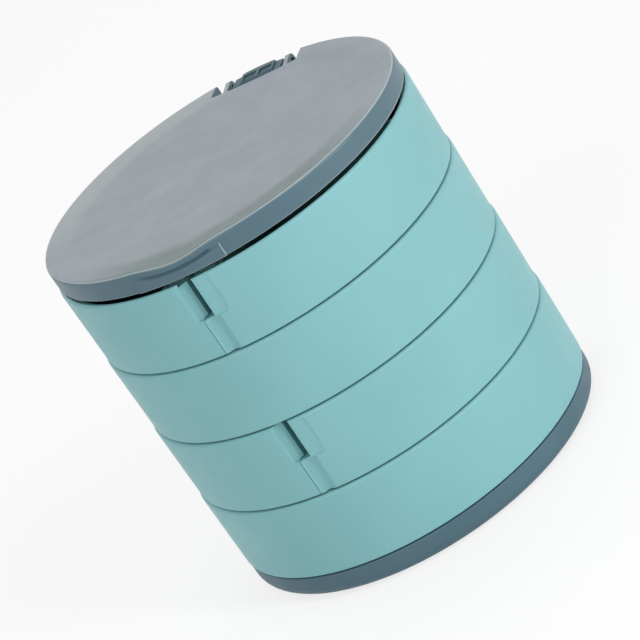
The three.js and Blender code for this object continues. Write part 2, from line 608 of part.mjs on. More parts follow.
const box = new THREE.Group();
const seam = UPPER_TRAY_Z - GAP;
box.add(
  piece('base_shell', baseShell(), SLATE),
  ...FOOT_SPOTS.map((spot, i) => piece(`rubber_foot_${i + 1}`, rubberFoot(spot), RUBBER)),
  ...BASE_SCREW_SPOTS.map((spot, i) => piece(`base_screw_${i + 1}`, baseScrew(spot), STEEL)),
  piece('lower_tray', lowerTray(), TEAL),
  piece('lower_column', lowerColumn(), TEAL),
  piece('swivel_post', swivelPost(), STEEL),
  piece('swivel_washer', ringWasher(POST_RADIUS + GAP, WASHER_RADIUS, seam - 0.9, seam + 0.6), NYLON),
  piece('swivel_cap_washer', ringWasher(
    2, WASHER_RADIUS, UPPER_TRAY_Z + CHAMBER_RISE + 0.7, UPPER_TRAY_Z + CHAMBER_RISE + 1.7,
  ), STEEL),
  piece('swivel_screw', swivelScrew(), STEEL),
  piece('upper_tray', upperTray(), TEAL),
  piece('upper_column', upperColumn(), TEAL),
  piece('hinge_block', hingeBlock(), SLATE),
  piece('hinge_block_screw', hingeBlockScrew(), STEEL),
  piece('lid_hinge_pin', lidHingePin(), STEEL),
  piece('lid_shell', lidShell(), SLATE),
  piece('mirror_frame', mirrorFrame(), NYLON),
  piece('mirror_glass', mirrorGlass(), MIRROR),
  piece('mirror_pad', mirrorPad(), FOAM),
);

for (const [level, low] of [['lower', LOWER_DRAWER_Z], ['upper', UPPER_DRAWER_Z]]) {
  const trayLow = low - TIER_PITCH;
  box.add(
    piece(`${level}_cross_divider`, crossDivider(trayLow), TEAL),
    piece(`${level}_rear_divider`, rearDivider(trayLow), TEAL),
  );
  for (const [hand, side] of [['left', -1], ['right', 1]]) {
    box.add(
      piece(`${level}_column_screw_${hand}`, columnScrew(side, trayLow), STEEL),
      piece(`${level}_drawer_${hand}`, drawer(side, low), TEAL),
      piece(`${level}_divider_${hand}`, drawerDivider(side, low), TEAL),
      piece(`${level}_pivot_screw_${hand}`, pivotScrew(side, low), STEEL),
    );
  }
}

export default box;
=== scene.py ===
from math import cos, exp, hypot, pi, radians, sin, sqrt

import bmesh
import bpy
from mathutils import Matrix, Vector


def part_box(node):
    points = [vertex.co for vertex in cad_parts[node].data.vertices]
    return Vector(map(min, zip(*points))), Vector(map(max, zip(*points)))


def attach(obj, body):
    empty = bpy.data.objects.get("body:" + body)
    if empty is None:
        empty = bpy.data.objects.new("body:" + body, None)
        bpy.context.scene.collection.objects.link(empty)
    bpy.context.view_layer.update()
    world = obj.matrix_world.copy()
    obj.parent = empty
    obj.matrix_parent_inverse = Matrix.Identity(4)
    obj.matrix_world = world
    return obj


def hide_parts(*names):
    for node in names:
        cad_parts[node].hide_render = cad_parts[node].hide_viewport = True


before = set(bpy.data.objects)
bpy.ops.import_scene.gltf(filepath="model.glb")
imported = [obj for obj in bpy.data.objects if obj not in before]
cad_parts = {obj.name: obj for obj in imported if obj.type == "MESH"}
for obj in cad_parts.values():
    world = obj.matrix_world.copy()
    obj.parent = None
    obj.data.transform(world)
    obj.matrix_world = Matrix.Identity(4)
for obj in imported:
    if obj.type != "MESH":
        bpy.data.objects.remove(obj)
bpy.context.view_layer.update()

MM = 0.001


def corners(node):
    """Lowest and highest corner of a CAD node, in millimetres."""
    low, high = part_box(node)
    return [value / MM for value in low], [value / MM for value in high]


# Heights, read from the frame
DRAWER_LOW, DRAWER_HIGH = (corners("lower_drawer_left")[k][2] for k in (0, 1))
UPPER_DRAWER_LOW = corners("upper_drawer_left")[0][2]
PITCH = (UPPER_DRAWER_LOW - DRAWER_LOW) / 2
TIER = DRAWER_HIGH - DRAWER_LOW
LOWER_TRAY_LOW = DRAWER_LOW - PITCH
UPPER_TRAY_LOW = DRAWER_LOW + PITCH
TIERS_TOP = UPPER_DRAWER_LOW + TIER
BASE_LOW, BASE_TOP = (corners("base_shell")[k][2] for k in (0, 1))
LID_LOW, LID_TOP = (corners("lid_shell")[k][2] for k in (0, 1))

# Sizes in the plan, in millimetres; FAR lies past every outside
FAR = 60
RADIUS = 50.0
BASE_RADIUS = 49.4
LID_RADIUS = 49.6
TAPER = 0.35
WALL = 2.1
INNER = RADIUS - WALL
INNER_WALL = 1.6
CLEARANCE = 0.3
FLOOR = 2.0
FLOOR_FILLET = 2.4
RIM_ROUND = 0.9
DIVIDER = 1.4
DIVIDER_DROP = 2.5
DIVIDER_Y = -2.0
COLUMN_HALF = 19.7
COLUMN_FRONT = 31.7
COLUMN_WALL = 1.8
COLUMN_CORE_HALF = 12.6
COLUMN_SCREW = (10.0, 37.0)
COLUMN_SCREW_DEPTH = 8.6
SCREW_BORE = 1.4
SCREW_HEAD_BORE = 2.7
HINGE_SCREW_DROP = 5
SWIVEL_Y = 40.0
POST_BORE = 3.3
POST_DEPTH = 15.8
WASHER_SEAT = 6.5
WASHER_DEPTH = 1.05
CHAMBER = 6.9
CHAMBER_RISE = 14.0
PIVOT = (25.5, 36.5)
BOSS = 4.2
KNUCKLE = 5.2
PIN_RADIUS = 1.5
PIN_BORE = 1.8
PIN_BORE_FLOOR = 6.6
HEAD_RADIUS = 2.8
HEAD_HEIGHT = 1.6
DRAWER_REAR = 31.0
CENTRE_GAP = 0.8

# Colours of the lid's top face, where a painted sheen makes it paler than the slate with random mottling,
# with painted shade on the front slope of its dish and painted light on the rear slope, and of the painted
# highlights along its edges, with the shares of the highlight colour
TOP_SHEEN_DARK = (0.195, 0.232, 0.264)
TOP_SHEEN_LIGHT = (0.226, 0.266, 0.298)
TOP_PAINTED_SHADE = (0.118, 0.155, 0.16)
TOP_PAINTED_LIGHT = (0.275, 0.31, 0.322)
HIGHLIGHT_COLOUR = (0.4, 0.45, 0.46)
RIM_HIGHLIGHT_SHARE = 0.55
EDGE_HIGHLIGHT_SHARE = 0.6

# Base, its screws and its feet
SCREW_SPOTS = [(36, 0), (-36, 0), (0, -36), (0, 30)]
FOOT_SPOTS = [(38 * cos(radians(a)), 38 * sin(radians(a))) for a in (45, 135, 225, 315)]
FOOT_RADIUS = 4.5
BASE_ROUND = 3.0
BASE_FLOOR = 1.8
BASE_HEAD_BORE = 2.9
PEG = 3.0
PEG_LOW = 4.5
SCREW_TOWER = 4.4

# Screws: radius of the head and of the shank, and height of the head
BASE_SCREW = (2.6, 1.1, 1.0)
PIVOT_SCREW = (HEAD_RADIUS, PIN_RADIUS, HEAD_HEIGHT)
COLUMN_SCREW_FORM = (2.3, 1.1, 0.7)

# Stepped finger pull on the front seam; an edge is its distance from the centre and its round
PULL_MID = 0.48
TONGUE_REACH = 1.6
TONGUE_CLEARANCE = 0.45
LEFT_EDGE = (1.74, 0.35)
RIGHT_EDGE = (1.25, 1.3)
TOOL_FRONT = -56
PAD_REACH = 5.9
PAD_ROUND = 1.6
PAD_DEPTH = 0.16
SCOOP_START = 5.5
EASE_WIDTH = 3.45
EASE_DEPTH = 0.5
RAMP_START = 3.0
RAMP_DEPTH = 2.0
TROUGH_START = 3.9
TROUGH_BOTTOM = 0.5
TROUGH_DEPTH = 1.35
RABBET = 0.9
RABBET_LIP = 0.75
WELL_DEPTH = 4
TONGUE_BACK_Y = -45.2
CORNER_BACK_Y = -43.4
CORNER_WIDTH = 8.0

# Lid, hinge and mirror
HINGE_Y = 46.2
HINGE_Z = LID_TOP - 3.2
NOTCH_HALF = 12.9
NOTCH_FRONT = 41.4
EAR = (8.4, 9.7)
LID_KNUCKLE = 2.2
HINGE_PIN_RADIUS = 0.9
HINGE_PIN_BORE = 1.2
BLOCK_HALF = 7.2
BLOCK_FRONT = 42.5
BLOCK_ROUND = 3.5
LID_EDGE_ROUND = 1.1
DISH_DEPTH = 0.75
REAR_FALL = 1.0
TAB_HALF = 12.4
TAB_RAISE = 0.4
CREASE_DROP = 2.05
CREASE_SAG = 1.4
GROOVE_DEPTH = 0.5
GROOVE_HALF = 0.34
DIP_DEPTH = 1.1
DIP_HALF = 13.0
MIRROR_Y = -2.0
MIRROR_SEAT = 38.5
MIRROR_RADIUS = 36.8
GLASS_HEIGHTS = (1.2, 3.0)
LID_CEILING = LID_TOP - 1.9

# Segments of a full circle, for large and for small rounds
ROUND = 240
SMALL_ROUND = 48


def solid(name, vertices, faces):
    """A closed mesh object in millimetres, with its faces pointing out."""
    mesh = bpy.data.meshes.new(name)
    mesh.from_pydata(vertices, [], faces)
    form = bmesh.new()
    form.from_mesh(mesh)
    bmesh.ops.recalc_face_normals(form, faces=form.faces)
    form.to_mesh(mesh)
    form.free()
    piece = bpy.data.objects.new(name, mesh)
    bpy.context.scene.collection.objects.link(piece)
    return piece


def revolve(profile, x=0.0, y=0.0, segments=ROUND, angles=None, bend=None, name="turned"):
    """A profile of (radius, height) points turned about a vertical axis; bend may move each point."""
    angles = angles or [2 * pi * i / segments for i in range(segments)]
    vertices, rings = [], []
    for radius, height in profile:
        if radius < 1e-6:
            rings.append([len(vertices)] * len(angles))
            vertices.append((x, y, bend(0, 0, height)[1] if bend else height))
            continue
        rings.append(list(range(len(vertices), len(vertices) + len(angles))))
        for angle in angles:
            r, z = bend(angle, radius, height) if bend else (radius, height)
            vertices.append((x + r * cos(angle), y + r * sin(angle), z))
    closed = profile[0][0] > 1e-6
    pairs = list(zip(rings, rings[1:] + rings[:1])) if closed else list(zip(rings, rings[1:]))
    faces = []
    for lower, upper in pairs:
        for i in range(len(angles)):
            j = (i + 1) % len(angles)
            corner_loop = [lower[i], lower[j], upper[j], upper[i]]
            face = [v for k, v in enumerate(corner_loop) if v != corner_loop[k - 1]]
            faces.append(face)
    return solid(name, vertices, faces)


def rod(x, y, radius, low, high, segments=SMALL_ROUND):
    """An upright rod."""
    return revolve([(0, low), (radius, low), (radius, high), (0, high)], x, y, segments, name="rod")


def prism(outline, low, high, name="prism"):
    """A flat outline raised from one height to another."""
    count = len(outline)
    vertices = [(x, y, low) for x, y in outline] + [(x, y, high) for x, y in outline]
    faces = [list(range(count)), list(range(count, 2 * count))]
    faces += [[i, (i + 1) % count, (i + 1) % count + count, i + count] for i in range(count)]
    return solid(name, vertices, faces)


def block(a, b):
    """A block between two corners."""
    (x0, x1), (y0, y1), (z0, z1) = (sorted(pair) for pair in zip(a, b))
    return prism([(x0, y0), (x1, y0), (x1, y1), (x0, y1)], z0, z1, "block")


def lying_rod(axis, start, end, across, height, radius, segments=SMALL_ROUND):
    """A rod along X or Y, between two ends."""
    piece = rod(0, 0, radius, start, end, segments)
    turn = Matrix.Rotation(pi / 2, 4, "Y") if axis == "x" else Matrix.Rotation(-pi / 2, 4, "X")
    place = (0, across, height) if axis == "x" else (across, 0, height)
    piece.data.transform(Matrix.Translation(place) @ turn)
    return piece


def arc(centre, height, radius, start, end, steps):
    """Points of a round in a profile, between two angles in degrees."""
    angles = [radians(start + (end - start) * i / steps) for i in range(steps + 1)]
    return [(centre + radius * cos(a), height + radius * sin(a)) for a in angles]


def combine(whole, operation, *tools):
    """Joins, cuts or intersects a solid with others, which are used up."""
    for tool in tools:
        step = whole.modifiers.new(operation, "BOOLEAN")
        step.operation = operation
        step.solver = "MANIFOLD"
        step.object = tool
    bpy.context.view_layer.update()
    graph = bpy.context.evaluated_depsgraph_get()
    result = bpy.data.meshes.new_from_object(whole.evaluated_get(graph))
    whole.modifiers.clear()
    whole.data = result
    for tool in tools:
        bpy.data.objects.remove(tool)
    return whole


def join(whole, *tools):
    """The solid with others added."""
    return combine(whole, "UNION", *tools)


def cut(whole, *tools):
    """The solid with others taken out of it."""
    return combine(whole, "DIFFERENCE", *tools)


def common(whole, tool):
    """What the solid shares with another."""
    return combine(whole, "INTERSECT", tool)


def dress(piece, name, look, body, nodes, edge=0.16):
    """Scales a finished solid to metres, softens its edges and lets it stand for its CAD nodes."""
    piece.name = name
    piece.data.name = name
    piece.data.transform(Matrix.Scale(MM, 4))
    form = bmesh.new()
    form.from_mesh(piece.data)
    bmesh.ops.remove_doubles(form, verts=form.verts, dist=0.004 * MM)
    bmesh.ops.dissolve_limit(form, angle_limit=radians(0.3), verts=form.verts, edges=form.edges)
    form.to_mesh(piece.data)
    form.free()
    piece.data.materials.clear()
    piece.data.materials.append(look)
    piece.data.shade_smooth()
    piece.data.set_sharp_from_angle(angle=radians(32))
    if edge:
        bevel = piece.modifiers.new("soft edges", "BEVEL")
        bevel.width = edge * MM
        bevel.segments = 2
        bevel.limit_method = "ANGLE"
        bevel.angle_limit = radians(38)
        bevel.harden_normals = True
    piece.modifiers.new("even shading", "WEIGHTED_NORMAL").keep_sharp = True
    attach(piece, body)
    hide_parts(*nodes)


def tier_drum(low):
    """The outside of one tier: slightly tapered, with a rounded top edge."""
    high = low + TIER
    return revolve([
        (0, low), *arc(RADIUS - TAPER - 0.3, low + 0.3, 0.3, -90, 0, 3),
        *arc(RADIUS - RIM_ROUND, high - RIM_ROUND, RIM_ROUND, 0, 90, 8), (0, high),
    ])


def tier_hollow(low):
    """The hollow of a tier, with a round in the floor corner and a soft inner lip."""
    floor = low + FLOOR
    high = low + TIER
    return revolve([
        (0, floor), *arc(INNER - FLOOR_FILLET, floor + FLOOR_FILLET, FLOOR_FILLET, -90, 0, 6),
        (INNER, high - 0.35), (INNER + 0.1, high - 0.1), (INNER + 0.4, high + 0.05), (INNER + 0.4, high + 1),
        (0, high + 1),
    ])


def rectangle(x0, x1, y0, y1):
    """Corners of a rectangle in the plan."""
    return [(x0, y0), (x1, y0), (x1, y1), (x0, y1)]


def column(tray_low):
    """The rear column: its foot stands in a tray, and its shaft fills the back of the tier above."""
    floor = tray_low + FLOOR + CLEARANCE
    shaft_low = tray_low + PITCH
    top = shaft_low + TIER
    outside = revolve([
        (0, floor), (INNER - 3.2, floor), (INNER - CLEARANCE, floor + 2.9),
        (INNER - CLEARANCE, tray_low + TIER + 0.1), (RADIUS - TAPER - 0.3, shaft_low),
        (RADIUS - TAPER, shaft_low + 0.3),
        *arc(RADIUS - RIM_ROUND, top - RIM_ROUND, RIM_ROUND, 0, 90, 8), (0, top),
    ])
    rear = rectangle(-COLUMN_HALF, COLUMN_HALF, COLUMN_FRONT, FAR)
    whole = common(outside, prism(rear, floor - 1, top + 1))
    tools = []
    for side in (-1, 1):
        inner, outer = sorted((side * COLUMN_CORE_HALF, side * (COLUMN_HALF - COLUMN_WALL)))
        plan = rectangle(inner, outer, COLUMN_FRONT + COLUMN_WALL, FAR)
        ceiling = top - COLUMN_WALL
        tools.append(common(rod(0, 0, INNER - 2.4, tray_low, ceiling, ROUND), prism(plan, tray_low, top)))
        tools.append(rod(side * COLUMN_SCREW[0], COLUMN_SCREW[1], SCREW_BORE, tray_low,
                         floor + COLUMN_SCREW_DEPTH))
    return cut(whole, *tools)


def lower_column(look):
    """The lower column, with the bore of the swivel post and the seat of its washer."""
    top = DRAWER_LOW + TIER
    whole = cut(column(LOWER_TRAY_LOW), rod(0, SWIVEL_Y, POST_BORE, top - POST_DEPTH, top + 1),
                rod(0, SWIVEL_Y, WASHER_SEAT, top - WASHER_DEPTH, top + 1))
    dress(whole, "lower_column_body", look, "lower_unit", ["lower_column"])


def upper_column(look):
    """The upper column, with the swivel's bore and chamber, and the way of the hinge block's screw."""
    low = UPPER_TRAY_LOW
    screw_height = TIERS_TOP - HINGE_SCREW_DROP
    whole = cut(
        column(low),
        rod(0, SWIVEL_Y, POST_BORE, low, TIERS_TOP),
        rod(0, SWIVEL_Y, CHAMBER, low + CHAMBER_RISE, TIERS_TOP + 1),
        lying_rod("y", COLUMN_FRONT - 1, SWIVEL_Y - 4, 0, screw_height, SCREW_BORE),
        lying_rod("y", COLUMN_FRONT - 1, COLUMN_FRONT + 0.9, 0, screw_height, SCREW_HEAD_BORE),
        lid_rabbet(),
    )
    dress(whole, "upper_column_body", look, "upper_unit", ["upper_column"])


def divider(node, start, end, low, look, body):
    """A loose straight divider between two plan corners, shaped to the floor and wall of its tier."""
    floor = low + FLOOR + CLEARANCE
    top = low + TIER - DIVIDER_DROP
    inner = INNER - CLEARANCE
    space = revolve([(0, floor), (inner - FLOOR_FILLET, floor), (inner, floor + FLOOR_FILLET), (inner, top),
                     (0, top)])
    plate = common(space, block((*start, low), (*end, low + TIER)))
    dress(plate, node + "_plate", look, body, [node], edge=0.35)


def tray(low):
    """A round tray with its two pivot bosses and the holes of the column's screws."""
    shell = cut(tier_drum(low), tier_hollow(low))
    bosses = [common(rod(side * PIVOT[0], PIVOT[1], BOSS, low + 1, low + TIER), tier_drum(low))
              for side in (-1, 1)]
    tools = []
    for side in (-1, 1):
        x, y = side * COLUMN_SCREW[0], COLUMN_SCREW[1]
        tools += [rod(side * PIVOT[0], PIVOT[1], PIN_BORE, low + PIN_BORE_FLOOR, low + TIER + 1),
                  rod(x, y, SCREW_BORE, low - 1, low + FLOOR + 1),
                  rod(x, y, SCREW_HEAD_BORE, low - 1, low + 1.1)]
    return cut(join(shell, *bosses), *tools)


def lower_tray(look):
    """The lowest tray, with a bored peg over each screw of the base."""
    low = LOWER_TRAY_LOW
    whole = join(tray(low), *[rod(x, y, PEG, PEG_LOW, low + 1) for x, y in SCREW_SPOTS])
    whole = cut(whole, *[rod(x, y, SCREW_BORE, PEG_LOW - 1, low + 1.2) for x, y in SCREW_SPOTS])
    dress(whole, "lower_tray_shell", look, "lower_unit", ["lower_tray"])


def upper_tray(look):
    """The upper tray, which turns on the swivel post through its floor."""
    low = UPPER_TRAY_LOW
    whole = cut(tray(low), rod(0, SWIVEL_Y, POST_BORE, low - 1, low + FLOOR + 1),
                rod(0, SWIVEL_Y, WASHER_SEAT, low - 1, low + 0.6))
    dress(whole, "upper_tray_shell", look, "upper_unit", ["upper_tray"])


def from_pivot(side, outward, sideways):
    """A plan point measured outward and sideways from a drawer's pivot."""
    reach = hypot(*PIVOT)
    x = PIVOT[0] + (outward * PIVOT[0] + sideways * PIVOT[1]) / reach
    y = PIVOT[1] + (outward * PIVOT[1] - sideways * PIVOT[0]) / reach
    return side * x, y


def drawer_plan(side, inset):
    """Plan of a half-moon drawer, or of its hollow when inset by its walls."""
    rear = DRAWER_REAR - inset
    corner = PIVOT[0] + 1.5 if inset else PIVOT[0] - KNUCKLE
    sideways = inset + 0.2 if inset else 0
    seam = side * (CENTRE_GAP + inset)
    return [(seam, -FAR), (seam, rear), (side * corner, rear), from_pivot(side, 0, sideways),
            from_pivot(side, 20, sideways), (side * 80, FAR), (side * 80, -FAR)]


def smooth(low, high, value):
    """0 below low, 1 above high, and an even curve between."""
    t = min(max((value - low) / (high - low), 0), 1)
    return t * t * (3 - 2 * t)


def scoop_depth(distance, trough):
    """Depth of a scoop at a distance from the seam: a ramp, or a trough that rises again to its tip."""
    if trough:
        rise = smooth(-TROUGH_BOTTOM, TONGUE_REACH + 0.3, -distance)
        return TROUGH_DEPTH * smooth(-TROUGH_START, -TROUGH_BOTTOM, -distance) * (1 - 0.95 * rise)
    ease = EASE_DEPTH * min(max((SCOOP_START - distance) / EASE_WIDTH, 0), 1) ** 2
    return ease + RAMP_DEPTH * min(max((RAMP_START - distance) / (RAMP_START - CENTRE_GAP), 0), 1)


def scoop_tool(side, low, high):
    """Tool for the scoop beside the seam: a ramp in the left drawer (side -1), a trough in the right one."""
    steps = 40
    end = -TONGUE_REACH - 0.4
    curve = []
    for i in range(steps + 1):
        distance = SCOOP_START + (end - SCOOP_START) * i / steps
        curve.append((side * distance, -sqrt(RADIUS ** 2 - distance ** 2) + scoop_depth(distance, side > 0)))
    return prism(curve + [(side * end, TOOL_FRONT), (side * SCOOP_START, TOOL_FRONT)], low, high)


def edge_tool(side, low, high):
    """Tool that rounds the plain edge of a drawer beside the seam, and makes way for the tongue."""
    reach, turn = RIGHT_EDGE if side > 0 else LEFT_EDGE
    face = -sqrt(RADIUS ** 2 - reach ** 2)
    edge = [(side * (reach + turn - turn * sin(radians(a))), face + turn - turn * cos(radians(a)))
            for a in range(0, 91, 10)]
    back = TONGUE_BACK_Y + TONGUE_CLEARANCE
    outline = [(side * 0.4, TOOL_FRONT), (side * (reach + turn), TOOL_FRONT), *edge, (side * reach, back),
               (side * 0.4, back)]
    return prism(outline, low, high)


def thumb_pad(low):
    """Tool for the shallow pad beside the right drawer's edge, with a rounded lower corner."""
    bottom, top = low + TIER * PULL_MID, low + TIER + 1
    corner = arc(PAD_REACH - PAD_ROUND, bottom + PAD_ROUND, PAD_ROUND, -90, 0, 8)
    plate = prism([(-3, bottom), *corner, (PAD_REACH, top), (-3, top)], 40, FAR, "pad")
    plate.data.transform(Matrix.Rotation(pi / 2, 4, "X"))
    face = RADIUS - PAD_DEPTH
    core = revolve([(0, low), (face - TAPER, low), (face, low + TIER - RIM_ROUND), (face, top + 1),
                    (0, top + 1)])
    return cut(plate, core)


def finger_pull(body, side, low):
    """The stepped seam: each drawer is scooped in one half of its height, with a plain edge in the other."""
    high = low + TIER
    middle = low + TIER * PULL_MID
    if side < 0:
        scoop_low, scoop_high = middle + CLEARANCE / 2, high + 1
        edge_low, edge_high = low - 1, scoop_low
    else:
        scoop_low, scoop_high = low - 1, middle - CLEARANCE / 2
        edge_low, edge_high = scoop_high, high + 1
    added = block((side * CENTRE_GAP, -FAR, low), (side * CORNER_WIDTH, CORNER_BACK_Y, high))
    if side > 0:
        added = join(added, block((-TONGUE_REACH, -FAR, low), (4, TONGUE_BACK_Y, scoop_high)))
    whole = cut(join(body, common(tier_drum(low), added)), edge_tool(side, edge_low, edge_high),
                scoop_tool(side, scoop_low, scoop_high))
    return cut(whole, thumb_pad(low)) if side > 0 else whole


def lid_rabbet():
    """Tool for the step inside the top rim, under the lid, with deeper wells beside the seam."""
    inner, outer = INNER - 0.6, RADIUS - RABBET_LIP
    floor, over = TIERS_TOP - RABBET, TIERS_TOP + 1
    ring = revolve([(inner, floor), (outer, floor), (outer, over), (inner, over)])
    wells = [block((side * 2, -46.2, TIERS_TOP - WELL_DEPTH), (side * 6.9, -44.6, over)) for side in (-1, 1)]
    corner_steps = [block((side * 0.6, -48, floor), (side * 8.2, -41, over)) for side in (-1, 1)]
    return join(ring, *wells, *corner_steps)


def drawer(side, low, name, body, look):
    """A half-moon drawer with its pivot knuckle; side -1 is the left one."""
    high = low + TIER
    px, py = side * PIVOT[0], PIVOT[1]
    shell = common(tier_drum(low), prism(drawer_plan(side, 0), low - 1, high + 1))
    hollow = common(tier_hollow(low), prism(drawer_plan(side, INNER_WALL), low, high + 2))
    knuckle = common(rod(px, py, KNUCKLE, low, high, 96), tier_drum(low))
    whole = join(cut(shell, hollow), knuckle)
    whole = cut(whole, rod(px, py, PIN_BORE, low - 1, high + 1),
                rod(px, py, HEAD_RADIUS + CLEARANCE, high - HEAD_HEIGHT - 0.6, high + 1))
    whole = finger_pull(whole, side, low)
    if low == UPPER_DRAWER_LOW:
        whole = cut(whole, lid_rabbet())
    dress(whole, name + "_shell", look, body, [name])


def base_shell(look):
    """Slate dish under the lowest tier, with a well rounded lower edge."""
    low, r = BASE_LOW, BASE_RADIUS
    shell = revolve([
        (0, low), *arc(r - BASE_ROUND, low + BASE_ROUND, BASE_ROUND, -90, 0, 10),
        *arc(r - 0.4, BASE_TOP - 0.4, 0.4, 0, 90, 4),
        (r - 2, BASE_TOP), (r - 2, low + 4), (r - 4.2, low + BASE_FLOOR), (0, low + BASE_FLOOR),
    ])
    whole = join(shell, *[rod(x, y, SCREW_TOWER, low + 1, PEG_LOW - CLEARANCE) for x, y in SCREW_SPOTS])
    whole = cut(
        whole,
        *[rod(x, y, SCREW_BORE, low - 1, BASE_TOP) for x, y in SCREW_SPOTS],
        *[rod(x, y, BASE_HEAD_BORE, low - 1, low + 1.7) for x, y in SCREW_SPOTS],
        *[rod(x, y, FOOT_RADIUS + CLEARANCE, low - 1, low + 0.6) for x, y in FOOT_SPOTS],
    )
    dress(whole, "base_dish", look, "lower_unit", ["base_shell"])


def turned_screw(node, look, body, head, shank, thickness, faces_up):
    """A screw in the place of a CAD one, with a domed head and a cross recess."""
    low, high = corners(node)
    x, y = ((low[k] + high[k]) / 2 for k in (0, 1))
    length = high[2] - low[2]
    profile = [(0, 0), (head - 0.5, 0), *arc(head - 0.4, 0.4, 0.4, -70, 0, 4), (head, thickness),
               (shank, thickness), (shank, length - 0.5), (shank - 0.4, length), (0, length)]
    piece = revolve(profile, segments=SMALL_ROUND, name="screw")
    arm, half, depth = head * 0.55, head * 0.11, thickness * 0.6
    piece = cut(piece, block((-arm, -half, -1), (arm, half, depth)),
                block((-half, -arm, -1), (half, arm, depth)))
    turn = Matrix.Rotation(pi, 4, "X") if faces_up else Matrix.Identity(4)
    piece.data.transform(Matrix.Translation((x, y, high[2] if faces_up else low[2])) @ turn)
    dress(piece, node + "_turned", look, body, [node], edge=0.06)


def foot(node, look):
    """A rubber foot with a rounded rim and a shallow ring in its face."""
    low, high = corners(node)
    x, y = ((low[k] + high[k]) / 2 for k in (0, 1))
    ring = [(2.6, 0), (2.8, 0.12), (3.2, 0.12), (3.4, 0)]
    profile = [(0, 0), *ring, *arc(FOOT_RADIUS - 0.25, 0.25, 0.25, -90, 0, 4), (FOOT_RADIUS, high[2]),
               (0, high[2])]
    piece = revolve(profile, x, y, 96, name="foot")
    dress(piece, node + "_pad", look, "lower_unit", [node], edge=0)


def upright_slab(outline, x0, x1):
    """A flat outline of (y, z) points given a thickness along X."""
    piece = prism(outline, x0, x1, "slab")
    piece.data.transform(Matrix(((0, 0, 1, 0), (1, 0, 0, 0), (0, 1, 0, 0), (0, 0, 0, 1))))
    return piece


def hinge_block(look):
    """Slate block that the lid hinges on, round in front, with two pockets and a spigot in the column."""
    low = TIERS_TOP + CLEARANCE
    top = LID_TOP - 1.25
    drum = revolve([(0, low), (RADIUS - 0.5, low), *arc(RADIUS - 1.9, top - 1.4, 1.4, 0, 90, 8), (0, top)])
    plan = [(-BLOCK_HALF, BLOCK_FRONT), (BLOCK_HALF, BLOCK_FRONT), (BLOCK_HALF, 47.4),
            (4.2, 47.9), (3.6, FAR), (-3.6, FAR), (-4.2, 47.9), (-BLOCK_HALF, 47.4)]
    crown = arc(HINGE_Y, HINGE_Z, BLOCK_ROUND, 124, 180, 10)
    rise = [(FAR, low - 1), (FAR, top), (HINGE_Y - 1.2, top), *crown, (HINGE_Y - BLOCK_ROUND, low - 1)]
    whole = common(common(drum, prism(plan, low, top)),
                   upright_slab(rise, -BLOCK_HALF - 1, BLOCK_HALF + 1))
    whole = join(whole, rod(0, SWIVEL_Y, CHAMBER - CLEARANCE, low - 10, low + 0.4, 96))
    whole = cut(
        whole,
        lying_rod("x", -20, 20, HINGE_Y, HINGE_Z, HINGE_PIN_BORE),
        *[block((side * 0.45, 43.4, top - 0.5), (side * 4.2, 46.6, top + 1)) for side in (-1, 1)],
        *[block((side * 4.9, 38, top - 0.45), (side * 9, FAR, top + 1)) for side in (-1, 1)],
        lying_rod("y", 30, SWIVEL_Y, 0, TIERS_TOP - HINGE_SCREW_DROP, SCREW_BORE),
    )
    dress(whole, "hinge_block_body", look, "upper_unit", ["hinge_block"], edge=0.25)


def lid_bend(angle, radius, height):
    """Moves the lid's surface: a fall to the rear, a dip in front and a finger tab below a crease."""
    x, y = radius * cos(angle), radius * sin(angle)
    share = (height - LID_LOW) / (LID_TOP - LID_LOW)
    fall = REAR_FALL * (y + LID_RADIUS) / (2 * LID_RADIUS) * (0.35 + 0.65 * share)
    if y > 0 or radius < 30:
        return radius, height - fall
    dip = 0.5 * (1 + cos(pi * x / DIP_HALF)) if abs(x) < DIP_HALF else 0
    crease = LID_TOP - CREASE_DROP - CREASE_SAG * (1 - (x / TAB_HALF) ** 2)
    inside = 1 - smooth(TAB_HALF - 0.25, TAB_HALF, abs(x))
    outer = smooth(LID_RADIUS - 1.4, LID_RADIUS - 0.6, radius)
    below = 1 - smooth(crease - 0.35, crease, height)
    along = smooth(-12, -7, x) * (1 - smooth(8.6, 10, x))
    groove = exp(-((height - crease - 0.15) / GROOVE_HALF) ** 2) * along
    radius += outer * inside * (TAB_RAISE * below) - outer * GROOVE_DEPTH * groove
    upper = smooth(LID_LOW + 2.4, LID_TOP - 0.4, height)
    fade = smooth(36, LID_RADIUS - 0.6, radius)
    return radius, height - fall - DIP_DEPTH * dip * upper * fade


